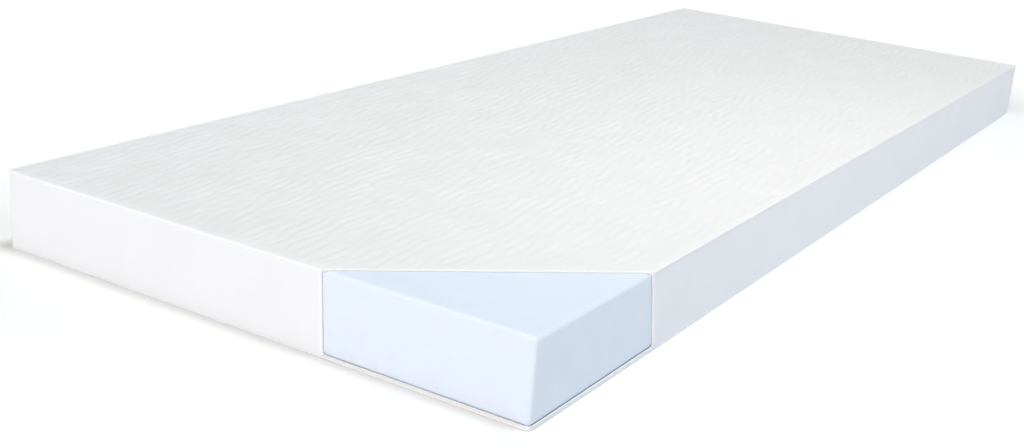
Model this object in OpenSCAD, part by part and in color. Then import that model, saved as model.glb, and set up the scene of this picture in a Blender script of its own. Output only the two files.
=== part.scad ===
// Single-size memory foam mattress: a one-block foam core in a zipped, piped fabric cover.
// The cover's foot right-hand corner is cut away and bound, so that the core shows.
// Origin: centre of the underside. +X right-hand side, +Y head end, +Z up. Millimetres.

/* [Mattress] */
// Width over the piping
mattress_w = 800; // [700:10:1200]
// Length over the piping
mattress_l = 2000; // [1900:10:2200]
// Thickness of the foam core
core_h = 102; // [80:1:140]
// Plan radius of the cover's corners
corner_r = 8; // [8:1:20]
// Radius on the edges of the foam core
core_edge_r = 5.5; // [3:0.5:10]

/* [Cover fabric] */
// Thickness of the top and bottom panels
panel_t = 2; // [1.6:0.2:4]
// Thickness of the border strips
border_t = 1.8; // [1.6:0.1:2.4]
// Outside diameter of the piping
piping_d = 4.4; // [4:0.2:5]
// How far the piping stands out past the border strips
piping_proud = 0.6; // [0.3:0.1:1]
// Width of the piping's sewn-in flange
flange_w = 9; // [6:1:14]

/* [Cut-away corner] */
// Length of foot border removed at the top, from the corner
cut_foot_top = 281; // [150:1:350]
// Length of foot border removed at the bottom, from the corner
cut_foot_base = 275; // [150:1:350]
// Length of right border removed at the top, from the corner
cut_right_top = 258; // [150:1:350]
// Length of right border removed at the bottom, from the corner
cut_right_base = 281; // [150:1:350]
// Width of the binding's legs on the fabric
binding_w = 4; // [3:0.5:6]
// Thickness of the binding tape
binding_t = 0.5; // [0.3:0.1:0.6]

/* [Zip] */
// Distance of each end of the coil from the middle of the side
zip_half = 925; // [800:5:945]
// Height of the zip's centre line
zip_z = 53; // [45:1:60]
// Gap between the border strips along the zip
zip_gap = 11.2; // [11:0.2:14]
// Width of each zip tape
tape_w = 15; // [12:1:18]
// Length of the pull tab from its hinge
pull_l = 34; // [28:1:45]

/* [Label] */
// Length of the blank care label
label_l = 60; // [40:5:90]
// Height of the blank care label
label_h = 32; // [24:2:40]

/* [Hidden] */
$fn = 64;
RIGHT = 0;
HEAD = 1;
LEFT = 2;
FOOT = 3;
eps = 0.01;

// Heights
core_z0 = panel_t;
core_z1 = panel_t + core_h;
mattress_h = core_h + 2 * panel_t;
seam_gap = 0.1;
border_z0 = piping_d + seam_gap;
border_z1 = mattress_h - piping_d - seam_gap;

// Depths, measured inwards from the plan outline over the piping
border_out = piping_proud;
border_in = border_out + border_t;
panel_in = piping_d + seam_gap;
flange_t = 0.5;
flange_out = border_in + 0.05;
core_in = flange_out + flange_t + 0.05;
zip_slack = 1.4; // room behind the zip for the slider's back plate
cord_d = piping_d - 1.6;
cord_slack = 0.1;

// Ends of the cut, at its top and base: across the foot border and along the right border
cut_x_top = mattress_w / 2 - cut_foot_top;
cut_x_base = mattress_w / 2 - cut_foot_base;
cut_y_top = cut_right_top - mattress_l / 2;
cut_y_base = cut_right_base - mattress_l / 2;
cut_run = norm([cut_foot_top, cut_right_top]);
cut_angle = atan2(cut_right_top, cut_foot_top);
web_t = 0.5;
sill_h = 1;

// Zip
tape_t = 0.5;
tape_split = 0.6;
coil_split = 0.5;
coil_w = 3.4;
coil_t = border_t;
tape_overrun = 20;
closed_seam = 0.1;
slider_l = 16;
slider_w = 10.4;
slider_park = zip_half - slider_l / 2 - 0.3;
stop_gap = 0.2;
stop_proud = 0.5;
plate_out = 0.95;
plate_t = 1.3;
back_plate_t = 0.9;
back_plate_in = border_in + tape_t + 0.15 + back_plate_t;
rim_w = 1;
bail_l = 11;
bail_h = 3.3;
bail_w = 1.8;
pull_t = 1.3;
pull_w = 7.4;
hinge_out = plate_out + 0.3 + pull_t / 2;
end_tab_l = 24;
end_tab_w = 18;
end_tab_t = 0.7;
label_t = 0.5;
label_x = -230;

// ---- Placing things round the sides ----
// Each side has its own frame: x outwards, t along the side, z up.
// t runs towards the head on the right, to the left on the head end, to the foot on the left, and to
// the right on the foot end.

function side_reach(side) = (side % 2 == 0 ? mattress_w : mattress_l) / 2;
function run_half(side) = (side % 2 == 0 ? mattress_l : mattress_w) / 2 - corner_r;

// A (t, z) outline as a slab between two depths on a side
module slab(side, depth0, depth1) {
    rotate([0, 0, 90 * side])
        translate([side_reach(side) - depth1, 0, 0])
            rotate([90, 0, 90])
                linear_extrude(depth1 - depth0)
                    children();
}

// A profile, drawn in (corner_r - depth, z), swept straight from t0 to t1
module run(side, t0, t1) {
    rotate([0, 0, 90 * side])
        translate([side_reach(side) - corner_r, t1, 0])
            rotate([90, 0, 0])
                linear_extrude(t1 - t0)
                    children();
}

// The same profile swept round the corner at the end of a side
module turn(side) {
    rotate([0, 0, 90 * side])
        translate([side_reach(side) - corner_r, run_half(side), 0])
            rotate_extrude(angle = 90)
                children();
}

// A rectangle in a profile, from depth0 to depth1 and z0 to z1
module profile_box(depth0, depth1, z0, z1) {
    translate([corner_r - depth1, z0])
        square([depth1 - depth0, z1 - z0]);
}

// A plan outline of the mattress, inset by a depth
module outline(depth) {
    r = corner_r - depth;
    for (x = [-1, 1], y = [-1, 1])
        translate([x * run_half(FOOT), y * run_half(RIGHT)])
            circle(r);
    square([2 * run_half(FOOT), mattress_l - 2 * depth], center = true);
    square([mattress_w - 2 * depth, 2 * run_half(RIGHT)], center = true);
}

// The frame of the diagonal cut: x along it from the foot edge, y towards the cover
module along_cut() {
    translate([cut_x_top, -mattress_l / 2, 0])
        rotate([0, 0, cut_angle])
            children();
}

// A bar along the diagonal cut, from y0 to y1 and z0 to z1, kept inside the outline at a depth
module cut_bar(y0, y1, z0, z1, depth) {
    over = 20;
    intersection() {
        along_cut()
            translate([-over, y0, z0])
                cube([cut_run + 2 * over, y1 - y0, z1 - z0]);
        translate([0, 0, z0])
            linear_extrude(z1 - z0)
                square([mattress_w - 2 * depth, mattress_l - 2 * depth], center = true);
    }
}

// ---- Foam core ----

// Section of the core's rounded border, from the line of its corner centres outwards
module core_edge(r) {
    translate([0, core_z0 + r])
        square([r, core_h - 2 * r]);
    for (z = [core_z0 + r, core_z1 - r])
        intersection() {
            translate([0, z])
                circle(r);
            translate([0, z - r])
                square([r, 2 * r]);
        }
}

module foam_core() {
    r = core_edge_r;
    half = [(mattress_w - zip_slack) / 2 - core_in - r, mattress_l / 2 - core_in - r];
    color([0.83, 0.9, 0.98])
        translate([zip_slack / 2, 0, 0]) {
            translate([-half.x, -half.y, core_z0])
                cube([2 * half.x, 2 * half.y, core_h]);
            for (side = [RIGHT, HEAD, LEFT, FOOT]) {
                reach = half[side % 2];
                along = half[(side + 1) % 2];
                rotate([0, 0, 90 * side])
                    translate([reach, along, 0]) {
                        rotate([90, 0, 0])
                            linear_extrude(2 * along)
                                core_edge(r);
                        rotate_extrude(angle = 90)
                            core_edge(r);
                    }
            }
        }
}

// ---- Top and bottom panels ----

module top_panel() {
    away = cut_foot_top + cut_right_top;
    color([0.94, 0.95, 0.95])
        difference() {
            translate([0, 0, core_z1])
                linear_extrude(panel_t)
                    outline(panel_in);
            along_cut()
                translate([-away, -away, 0])
                    cube([3 * away, away, mattress_h + 1]);
            along_cut()
                translate([-away, -eps, mattress_h - binding_t])
                    cube([3 * away, binding_w + eps, panel_t]);
            along_cut()
                translate([-away, -eps, core_z1 - panel_t + binding_t])
                    cube([3 * away, binding_w + eps, panel_t]);
        }
}

module bottom_panel() {
    color([0.9, 0.91, 0.92])
        linear_extrude(panel_t)
            outline(panel_in);
}

// ---- Border strips ----

// The border wall from t0 to t1 on a side
module border_run(side, t0, t1) {
    run(side, t0, t1)
        profile_box(border_out, border_in, border_z0, border_z1);
}

module border_turn(side) {
    turn(side)
        profile_box(border_out, border_in, border_z0, border_z1);
}

// The (t, z) line of a leaning raw edge, moved along its side by some amount
function raw_edge(t_top, t_base, shift) = [
    [t_base + shift, border_z0],
    [t_top + shift, border_z1]
];

// The raw edges of the foot and right borders, moved back into the cloth
function foot_edge(back) = raw_edge(cut_x_top, cut_x_base, -back);
function right_edge(back) = raw_edge(cut_y_top, cut_y_base, back);

// The (t, z) band between two raw edges
module edge_band(a, b) {
    polygon([a[0], b[0], b[1], a[1]]);
}

// The thin tongue of border cloth between the legs of the binding
module tongue(side, a, b) {
    middle = (border_out + border_in) / 2;
    half = border_t / 2 - binding_t;
    slab(side, middle - half, middle + half)
        edge_band(a, b);
}

module foot_border() {
    full = foot_edge(binding_w);
    left_end = -run_half(FOOT);
    color([0.97, 0.97, 0.98])
        union() {
            slab(FOOT, border_out, border_in)
                polygon([[left_end, border_z0], full[0], full[1], [left_end, border_z1]]);
            border_turn(LEFT);
            tongue(FOOT, foot_edge(0), foot_edge(binding_w + eps));
        }
}

module right_border() {
    full = right_edge(binding_w);
    head_end = run_half(RIGHT) - seam_gap;
    color([0.9, 0.91, 0.93])
        union() {
            slab(RIGHT, border_out, border_in)
                polygon([full[0], [head_end, border_z0], [head_end, border_z1], full[1]]);
            tongue(RIGHT, right_edge(0), right_edge(binding_w + eps));
        }
}

module head_border() {
    color([0.95, 0.95, 0.96])
        union() {
            border_turn(RIGHT);
            border_run(HEAD, -run_half(HEAD), run_half(HEAD));
            border_turn(HEAD);
        }
}

// Half of the left border: a strip beside the zip that closes onto its fellow past the zip's ends
module left_border_half(edge_z, zip_edge_z, meet_z) {
    end = run_half(LEFT) - seam_gap;
    open = zip_half + tape_overrun;
    slab(LEFT, border_out, border_in)
        polygon([
            [-end, edge_z], [end, edge_z], [end, meet_z], [open, meet_z],
            [open, zip_edge_z], [-open, zip_edge_z], [-open, meet_z], [-end, meet_z]
        ]);
}

module left_border_upper() {
    color([0.93, 0.94, 0.95])
        left_border_half(border_z1, zip_z + zip_gap / 2, zip_z + closed_seam / 2);
}

module left_border_lower() {
    color([0.93, 0.94, 0.95])
        left_border_half(border_z0, zip_z - zip_gap / 2, zip_z - closed_seam / 2);
}

// ---- Piping: a bias tape with a sewn-in flange, round a filler cord ----

module tube_section(z) {
    translate([corner_r - piping_d / 2, z])
        difference() {
            circle(d = piping_d);
            circle(d = cord_d + cord_slack);
        }
}

// way is 1 where the flange points up inside the border, -1 where it points down
module flange_section(z, way) {
    z0 = way > 0 ? z + piping_d / 4 : z - piping_d / 4 - flange_w;
    difference() {
        profile_box(flange_out, flange_out + flange_t, z0, z0 + flange_w);
        translate([corner_r - piping_d / 2, z])
            circle(d = piping_d - 0.4);
    }
}

module cord_section(z) {
    translate([corner_r - piping_d / 2, z])
        circle(d = cord_d);
}

// Sweeps a section round the edge that the cut leaves, from cut_y on the right side to cut_x on the foot end
module open_edge(cut_x, cut_y) {
    run(FOOT, -run_half(FOOT), cut_x) children();
    run(RIGHT, cut_y, run_half(RIGHT)) children();
    for (side = [HEAD, LEFT])
        run(side, -run_half(side), run_half(side)) children();
    for (side = [RIGHT, HEAD, LEFT])
        turn(side) children();
}

// Sweeps a section right round the mattress
module full_edge() {
    for (side = [RIGHT, HEAD, LEFT, FOOT]) {
        run(side, -run_half(side), run_half(side)) children();
        turn(side) children();
    }
}

module top_piping_tape() {
    z = mattress_h - piping_d / 2;
    color([0.98, 0.98, 0.98])
        open_edge(cut_x_top, cut_y_top)
            union() {
                tube_section(z);
                flange_section(z, -1);
            }
}

module top_piping_cord() {
    color([0.9, 0.9, 0.88])
        open_edge(cut_x_top, cut_y_top)
            cord_section(mattress_h - piping_d / 2);
}

// The flange is trimmed off with the border where the corner is cut away
module bottom_piping_tape() {
    z = piping_d / 2;
    color([0.98, 0.98, 0.98])
        union() {
            full_edge()
                tube_section(z);
            open_edge(cut_x_base, cut_y_base)
                flange_section(z, 1);
        }
}

module bottom_piping_cord() {
    color([0.9, 0.9, 0.88])
        full_edge()
            cord_section(piping_d / 2);
}

// ---- Binding round the cut-away: a tape folded over the raw edges ----

// A web across a raw edge, and a leg on each face of the cloth
module side_binding(side, web, raw, leg) {
    slab(side, border_out, border_in)
        edge_band(web, raw);
    for (depth = [border_out, border_in - binding_t])
        slab(side, depth, depth + binding_t)
            edge_band(web, leg);
}

module top_binding() {
    cut_bar(-web_t, 0, core_z1, mattress_h, 0);
    cut_bar(-web_t, binding_w, mattress_h - binding_t, mattress_h, panel_in);
    cut_bar(-web_t, binding_w, core_z1, core_z1 + binding_t, panel_in);
}

// Fills the wedge between the square-cut piping and the diagonal, where the tape folds over the top edge
module fold_wedges() {
    x_in = core_in / tan(cut_angle);
    y_in = core_in * tan(cut_angle);
    web_x = web_t / sin(cut_angle);
    web_y = web_t / cos(cut_angle);
    foot_y = -mattress_l / 2;
    right_x = mattress_w / 2;
    translate([0, 0, border_z1])
        linear_extrude(mattress_h - border_z1)
            polygon([
                [cut_x_top, foot_y], [cut_x_top + web_x, foot_y],
                [cut_x_top + x_in + web_x, foot_y + core_in], [cut_x_top, foot_y + core_in]
            ]);
    translate([0, 0, border_z1])
        linear_extrude(mattress_h - border_z1)
            polygon([
                [right_x, cut_y_top], [right_x - core_in, cut_y_top],
                [right_x - core_in, cut_y_top - y_in - web_y], [right_x, cut_y_top - web_y]
            ]);
}

// The sill of the cut-away, along the bottom seam and round the corner
module base_binding() {
    run(FOOT, cut_x_base, run_half(FOOT)) sill_section();
    turn(FOOT) sill_section();
    run(RIGHT, -run_half(RIGHT), cut_y_base) sill_section();
}

module sill_section() {
    profile_box(border_out, border_in, border_z0, border_z0 + sill_h);
}

module cutaway_binding() {
    color([0.96, 0.96, 0.96])
        union() {
            side_binding(FOOT, foot_edge(-web_t), foot_edge(0), foot_edge(binding_w));
            side_binding(RIGHT, right_edge(-web_t), right_edge(0), right_edge(binding_w));
            top_binding();
            base_binding();
            fold_wedges();
        }
}

// ---- Zip, along the left side ----
// t runs from the head (negative) to the foot (positive) there.

// Places a part on the zip's centre line at t, with x outwards from the outline
module on_zip(t) {
    rotate([0, 0, 90 * LEFT])
        translate([side_reach(LEFT), t, zip_z])
            children();
}

// up is 1 for the upper half of the zip and -1 for the lower
module zip_tape(up) {
    half = zip_half + tape_overrun - 1;
    near = up * tape_split;
    far = up * (tape_split + tape_w);
    color([0.95, 0.95, 0.95])
        slab(LEFT, border_in, border_in + tape_t)
            translate([-half, zip_z + min(near, far)])
                square([2 * half, tape_w]);
}

module zip_coil(up) {
    r = coil_t / 2;
    z0 = zip_z + up * (coil_split + r);
    z1 = zip_z + up * (coil_split + coil_w - r);
    color([0.93, 0.93, 0.93])
        run(LEFT, -zip_half, zip_half) {
            for (z = [z0, z1])
                translate([corner_r - border_out - r, z])
                    circle(r);
            profile_box(border_out, border_in, min(z0, z1), max(z0, z1));
        }
}

// Two clamps, one on each coil, that stop the slider at the head end
module zip_top_stops() {
    color([0.75, 0.76, 0.78])
        for (up = [-1, 1])
            on_zip(-zip_half - stop_gap - 3)
                translate([-border_in, 0, up * (coil_split + coil_w / 2) - coil_w / 2])
                    cube([coil_t + stop_proud, 3, coil_w]);
}

// One clamp across both coils at the foot end
module zip_bottom_stop() {
    w = 2 * (coil_split + coil_w);
    color([0.75, 0.76, 0.78])
        on_zip(zip_half + stop_gap)
            translate([-border_in, 0, -w / 2])
                cube([coil_t + stop_proud, 5, w]);
}

// A fabric tab sewn over an end of the zip
module zip_end_tab(head) {
    t = head ? -zip_half - 6 - end_tab_l : zip_half + 6;
    color([0.95, 0.95, 0.96])
        on_zip(t)
            translate([-border_out, 0, -end_tab_w / 2])
                cube([end_tab_t, end_tab_l, end_tab_w]);
}

// The slider's plan shape: a square plate with bowed ends
module slider_plate(width) {
    intersection() {
        square([slider_l, width], center = true);
        circle(slider_l * 0.55);
    }
}

module slider_bail() {
    eye_l = 6.8;
    eye_h = 2;
    bow_r = 7.2;
    difference() {
        intersection() {
            translate([-bail_l / 2, 0])
                square([bail_l, bail_h]);
            translate([0, bail_h - bow_r])
                circle(bow_r);
        }
        translate([-eye_l / 2, -eps])
            square([eye_l, eye_h + eps]);
    }
}

module zip_slider() {
    rim_z = slider_w / 2 - rim_w;
    rim_l = slider_l - 5;
    rim_in = border_in - 0.25;
    post_l = 4;
    post_w = 0.6;
    post_t0 = -slider_l / 2 + 1.2;
    color([0.75, 0.76, 0.78])
        on_zip(-slider_park)
            union() {
                translate([plate_out - plate_t, 0, 0])
                    rotate([90, 0, 90])
                        linear_extrude(plate_t)
                            slider_plate(slider_w);
                translate([-back_plate_in, 0, 0])
                    rotate([90, 0, 90])
                        linear_extrude(back_plate_t)
                            slider_plate(slider_w);
                for (z = [-rim_z - rim_w, rim_z])
                    translate([-rim_in, -rim_l / 2, z])
                        cube([rim_in + plate_out - plate_t / 2, rim_l, rim_w]);
                translate([-back_plate_in, post_t0, -post_w / 2])
                    cube([back_plate_in + plate_out - plate_t / 2, post_l, post_w]);
                translate([plate_out - eps, 0, -bail_w / 2])
                    rotate([0, 0, 90])
                        mirror([0, 1, 0])
                            linear_extrude(bail_w)
                                slider_bail();
            }
}

// The pull tab's outline, from its hinge at the origin towards +x
module pull_outline() {
    eye_w = 3.4;
    eye_l = 7;
    head_w = 5.6;
    shoulder = 9;
    grip_hole = 3.2;
    difference() {
        union() {
            translate([0, -head_w / 2])
                square([shoulder + 1, head_w]);
            translate([shoulder, -pull_w / 2])
                square([pull_l - shoulder - pull_w / 2, pull_w]);
            translate([pull_l - pull_w / 2, 0])
                circle(d = pull_w);
        }
        translate([-1, -eye_w / 2])
            square([eye_l + 1, eye_w]);
        translate([pull_l - pull_w / 2, 0])
            circle(d = grip_hole);
    }
}

module zip_pull_tab() {
    bar_l = 5.6;
    color([0.8, 0.81, 0.83])
        on_zip(-slider_park)
            translate([hinge_out, 0, 0])
                union() {
                    translate([-pull_t / 2, 0, 0])
                        rotate([90, 0, 90])
                            linear_extrude(pull_t)
                                mirror([1, 0, 0])
                                    pull_outline();
                    translate([0, 0, -bar_l / 2])
                        cylinder(h = bar_l, d = pull_t);
                }
}

// ---- Care label, blank, sewn flat on the head border ----

module care_label() {
    color([0.99, 0.99, 0.99])
        slab(HEAD, border_out - label_t, border_out)
            translate([label_x - label_l / 2, (mattress_h - label_h) / 2])
                square([label_l, label_h]);
}

foam_core();
top_panel();
bottom_panel();
foot_border();
right_border();
head_border();
left_border_upper();
left_border_lower();
top_piping_tape();
top_piping_cord();
bottom_piping_tape();
bottom_piping_cord();
cutaway_binding();
zip_tape(1);  // zip_tape_upper
zip_tape(-1);  // zip_tape_lower
zip_coil(1);  // zip_coil_upper
zip_coil(-1);  // zip_coil_lower
zip_top_stops();
zip_bottom_stop();
zip_end_tab(true);  // zip_end_tab_head
zip_end_tab(false);  // zip_end_tab_foot
zip_slider();
zip_pull_tab();
care_label();
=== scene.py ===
"""Looks of a single-size memory foam mattress whose cover is cut away at one foot corner.

Metres, in the CAD's own frame: +X right-hand side, +Y head end, +Z up, origin on the underside.
Lengths are written in millimetres times MM. Sides are numbered anticlockwise from above.
"""

import math

import bmesh
import bpy
import numpy as np
from mathutils import Matrix, Vector


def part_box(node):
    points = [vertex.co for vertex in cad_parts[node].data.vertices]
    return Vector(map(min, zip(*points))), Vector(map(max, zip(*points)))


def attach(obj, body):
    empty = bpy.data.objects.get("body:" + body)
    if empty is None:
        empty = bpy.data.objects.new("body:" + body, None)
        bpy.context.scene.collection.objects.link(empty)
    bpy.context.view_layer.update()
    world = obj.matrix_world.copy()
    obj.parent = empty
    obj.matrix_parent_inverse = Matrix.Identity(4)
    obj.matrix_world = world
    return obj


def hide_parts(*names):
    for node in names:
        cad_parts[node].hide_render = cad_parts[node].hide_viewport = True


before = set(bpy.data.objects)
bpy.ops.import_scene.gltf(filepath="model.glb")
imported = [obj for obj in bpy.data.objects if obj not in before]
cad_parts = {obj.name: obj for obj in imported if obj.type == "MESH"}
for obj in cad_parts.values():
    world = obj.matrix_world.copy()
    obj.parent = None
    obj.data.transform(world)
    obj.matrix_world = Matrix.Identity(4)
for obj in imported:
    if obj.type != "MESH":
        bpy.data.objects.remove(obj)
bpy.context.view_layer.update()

MM = 0.001
SEED = 7
BODY = "mattress"
RIGHT, HEAD, LEFT, FOOT = range(4)

# ---- Sizes ----

# The CAD's own values. HALF_OPENING is half of its zip_gap.
CORNER_R = 8 * MM
CORE_EDGE_R = 5.5 * MM
SEAM_GAP = 0.1 * MM
CORD_R = 1.4 * MM
BINDING_W = 4 * MM
HALF_OPENING = 5.6 * MM
TAPE_OVERRUN = 20 * MM

# The rest are worked out from the CAD's boxes.
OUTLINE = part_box("bottom_piping_tape")
HALF_W, HALF_L = OUTLINE[1].x, OUTLINE[1].y
SIZE = (2 * HALF_W, 2 * HALF_L)
REACH = (HALF_W, HALF_L, HALF_W, HALF_L)
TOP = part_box("top_panel")[1].z
PANEL_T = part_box("bottom_panel")[1].z
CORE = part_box("foam_core")
BORDER_Z0, BORDER_Z1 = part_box("foot_border")[0].z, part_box("foot_border")[1].z
BORDER_OUT = HALF_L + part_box("foot_border")[0].y
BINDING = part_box("cutaway_binding")
CUT_X_TOP, CUT_X_BASE = BINDING[0].x + BINDING_W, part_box("foot_border")[1].x
CUT_Y_TOP, CUT_Y_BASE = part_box("right_border")[0].y, BINDING[1].y - BINDING_W
BORDER_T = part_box("right_border")[1].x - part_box("right_border")[0].x
PIPING_R = (TOP - BORDER_Z1 - SEAM_GAP) / 2
COIL = (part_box("zip_coil_lower"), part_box("zip_coil_upper"))
ZIP_Z = (COIL[0][0].z + COIL[1][1].z) / 2
ZIP_HALF = COIL[0][1].y
ZIP_OPEN = ZIP_HALF + TAPE_OVERRUN
RUN = (HALF_L - CORNER_R, HALF_W - CORNER_R, HALF_L - CORNER_R, HALF_W - CORNER_R)


# ---- Meshes ----


def make_mesh(name, verts, faces, uvs):
    """A smooth-shaded mesh with outward normals; uvs holds one pair for each face corner, in face order."""
    mesh = bpy.data.meshes.new(name)
    mesh.from_pydata(np.asarray(verts, float).tolist(), [], [list(map(int, f)) for f in faces])
    layer = mesh.uv_layers.new(name="UVMap")
    layer.data.foreach_set("uv", np.asarray(uvs, np.float32).ravel())
    bm = bmesh.new()
    bm.from_mesh(mesh)
    bmesh.ops.recalc_face_normals(bm, faces=bm.faces)
    bm.to_mesh(mesh)
    bm.free()
    mesh.polygons.foreach_set("use_smooth", [True] * len(mesh.polygons))
    mesh.set_sharp_from_angle(angle=math.radians(55))
    return mesh


def add_piece(name, mesh, material, replaces=(), body=BODY):
    """Links a mesh as a piece of the object, in a material, riding on a body and standing for CAD nodes."""
    piece = bpy.data.objects.new(name, mesh)
    bpy.context.scene.collection.objects.link(piece)
    mesh.materials.clear()
    mesh.materials.append(material)
    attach(piece, body)
    if replaces:
        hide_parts(*replaces)
    return piece


def join_parts(parts):
    """One (verts, faces, uvs) from several."""
    verts, faces, uvs, base = [], [], [], 0
    for v, f, uv in parts:
        verts.append(v)
        faces.extend([[i + base for i in face] for face in f])
        uvs.append(uv)
        base += len(v)
    return np.concatenate(verts), faces, np.concatenate(uvs)


def loft(rings, lengths, closed=False):
    """(verts, faces, uvs) of a skin over rings of points, an (n, m, 3) array; lengths has u at every ring.

    An open skin gets a cap at both ends. A closed one needs one length more, for its last ring's far side.
    """
    n, m = rings.shape[:2]
    girth = np.linalg.norm(np.roll(rings[0], -1, axis=0) - rings[0], axis=1)
    v_at = np.concatenate([[0], np.cumsum(girth)])
    u_at = np.asarray(lengths, float)
    spans = n if closed else n - 1
    i, j = np.meshgrid(np.arange(spans), np.arange(m), indexing="ij")
    i, j = i.ravel(), j.ravel()
    i1, j1 = (i + 1) % n, (j + 1) % m
    faces = np.stack([i * m + j, i1 * m + j, i1 * m + j1, i * m + j1], axis=1).tolist()
    u0, u1, v0, v1 = u_at[i], u_at[i + 1], v_at[j], v_at[j + 1]
    uvs = np.stack([u0, v0, u1, v0, u1, v1, u0, v1], axis=1).reshape(-1, 2)
    if not closed:
        faces.append(list(range(m)))
        faces.append(list(range((n - 1) * m, n * m)))
        uvs = np.concatenate([uvs, rings[0][:, :2], rings[-1][:, :2]])
    return rings.reshape(-1, 3), faces, uvs


def running_length(points):
    """The length along a polyline at each of its points."""
    return np.concatenate([[0], np.cumsum(np.linalg.norm(np.diff(points, axis=0), axis=1))])


def plan_path(pieces, step, closed=False):
    """Plan points on the outline, outward normals and lengths along it.

    pieces are ("run", side, t0, t1) and ("turn", side), each starting where the last one ends. A side's t
    runs anticlockwise. Every turn is about a corner's centre, so an offset along the normals keeps corners
    concentric.
    """
    points, normals = [], []
    for kind, side, *ends in pieces:
        facing = math.radians(90 * side)
        normal = np.array([math.cos(facing), math.sin(facing)])
        along = np.array([-normal[1], normal[0]])
        if kind == "run":
            count = max(2, round((ends[1] - ends[0]) / step) + 1)
            for t in np.linspace(ends[0], ends[1], count):
                points.append(normal * REACH[side] + along * t)
                normals.append(normal)
        else:
            centre = normal * (REACH[side] - CORNER_R) + along * RUN[side]
            for turned in np.radians(np.linspace(0, 90, 10)):
                out = normal * math.cos(turned) + along * math.sin(turned)
                points.append(centre + out * CORNER_R)
                normals.append(out)
    points, normals = np.array(points), np.array(normals)
    gaps = np.linalg.norm(np.diff(points, axis=0), axis=1)
    keep = np.concatenate([[True], gaps > 1e-7])
    points, normals = points[keep], normals[keep]
    if closed:
        points, normals = points[:-1], normals[:-1]
    looped = np.concatenate([points, points[:1]]) if closed else points
    return points, normals, running_length(looped)


def along_path(path, sections, closed=False):
    """Lofts sections of (inward depth, height), (m, 2) or (n, m, 2), along a plan path."""
    points, normals, lengths = path
    n = len(points)
    sections = np.broadcast_to(sections, (n, *np.shape(sections)[-2:]))
    plan = points[:, None, :] - normals[:, None, :] * sections[:, :, :1]
    rings = np.concatenate([plan, sections[:, :, 1:]], axis=2)
    return loft(rings, lengths, closed)


def full_turn(sides):
    return np.linspace(0, 2 * np.pi, sides, endpoint=False)


def tube(points, radius, sides, up):
    """A capped round tube along 3-D points; up is a direction that the points never run along."""
    points = np.asarray(points, float)
    tangent = np.gradient(points, axis=0)
    tangent /= np.linalg.norm(tangent, axis=1)[:, None]
    side = np.cross(tangent, up)
    side /= np.linalg.norm(side, axis=1)[:, None]
    rise = np.cross(side, tangent)
    angles = full_turn(sides)
    rings = points[:, None] + radius * (
        side[:, None] * np.cos(angles)[None, :, None] + rise[:, None] * np.sin(angles)[None, :, None]
    )
    return loft(rings, running_length(points))


# How much of the pitch a stitch takes, and how far its thread stands out along it, in thread radii.
STITCH_SHARE = 0.72
STITCH_RISE = np.array([-0.7, 0.55, 0.8, 0.55, -0.7])


def stitch_line(points, outward, pitch, radius):
    """Stitches laid end to end along a polyline: short threads that dive into the cloth at both ends."""
    points, outward = np.asarray(points, float), np.asarray(outward, float)
    lengths = running_length(points)
    count = max(1, int(lengths[-1] / pitch))
    span = np.linspace(0.5 - STITCH_SHARE / 2, 0.5 + STITCH_SHARE / 2, len(STITCH_RISE))
    parts = []
    for k in range(count):
        at = (k + span) * lengths[-1] / count
        spine = np.stack([np.interp(at, lengths, points[:, a]) for a in range(3)], axis=1)
        out = np.array([np.interp(at[2], lengths, outward[:, a]) for a in range(3)])
        spine += out * (STITCH_RISE * radius)[:, None]
        parts.append(tube(spine, radius, 6, out))
    return join_parts(parts)


def spaced(lo, hi, step, edge=(0, 1.5, 3.5, 6.5, 10)):
    """Coordinates from lo to hi, a step apart in the middle and closer near both ends.

    edge is how far in from each end the closer ones lie, in millimetres.
    """
    near = np.array(edge) * MM
    middle = np.linspace(lo + near[-1], hi - near[-1], max(2, round((hi - lo) / step)))
    return np.concatenate([lo + near[:-1], middle, hi - near[:-1][::-1]])


def smoothstep(x):
    """0 below 0, 1 above 1, and a smooth climb between."""
    x = np.clip(x, 0, 1)
    return x * x * (3 - 2 * x)


# ---- Surface relief ----


def banded_noise(width, length, cell, wave, spread, tilt, seed):
    """Random relief of unit strength on a grid of cells, from noise kept to one band of wavelengths.

    wave is the (x, y) wavelength that it is strongest at. spread is how wide the band is, as a share of its
    middle, and tilt turns the ridges by an angle in radians. Returns a function of x and y, which may be
    anywhere in the centred rectangle.
    """
    counts = [int(width / cell[0]) + 2, int(length / cell[1]) + 2]
    fx = np.fft.fftfreq(counts[0], cell[0])[:, None]
    fy = np.fft.fftfreq(counts[1], cell[1])[None, :]
    across = fx * math.cos(tilt) + fy * math.sin(tilt)
    along = fy * math.cos(tilt) - fx * math.sin(tilt)
    middle = 1 / wave[0]
    band = np.exp(-(((np.abs(across) - middle) / (spread * middle)) ** 2) - (along * wave[1]) ** 2)
    noise = np.random.default_rng(seed).standard_normal(counts)
    relief = np.real(np.fft.ifft2(np.fft.fft2(noise) * band))
    relief /= relief.std()

    def sample(x, y):
        gx = np.clip((np.asarray(x) + width / 2) / cell[0], 0, counts[0] - 1.001)
        gy = np.clip((np.asarray(y) + length / 2) / cell[1], 0, counts[1] - 1.001)
        ix, iy = gx.astype(int), gy.astype(int)
        ax, ay = gx - ix, gy - iy
        low = relief[ix, iy] * (1 - ax) + relief[ix + 1, iy] * ax
        high = relief[ix, iy + 1] * (1 - ax) + relief[ix + 1, iy + 1] * ax
        return low * (1 - ay) + high * ay

    return sample


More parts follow.
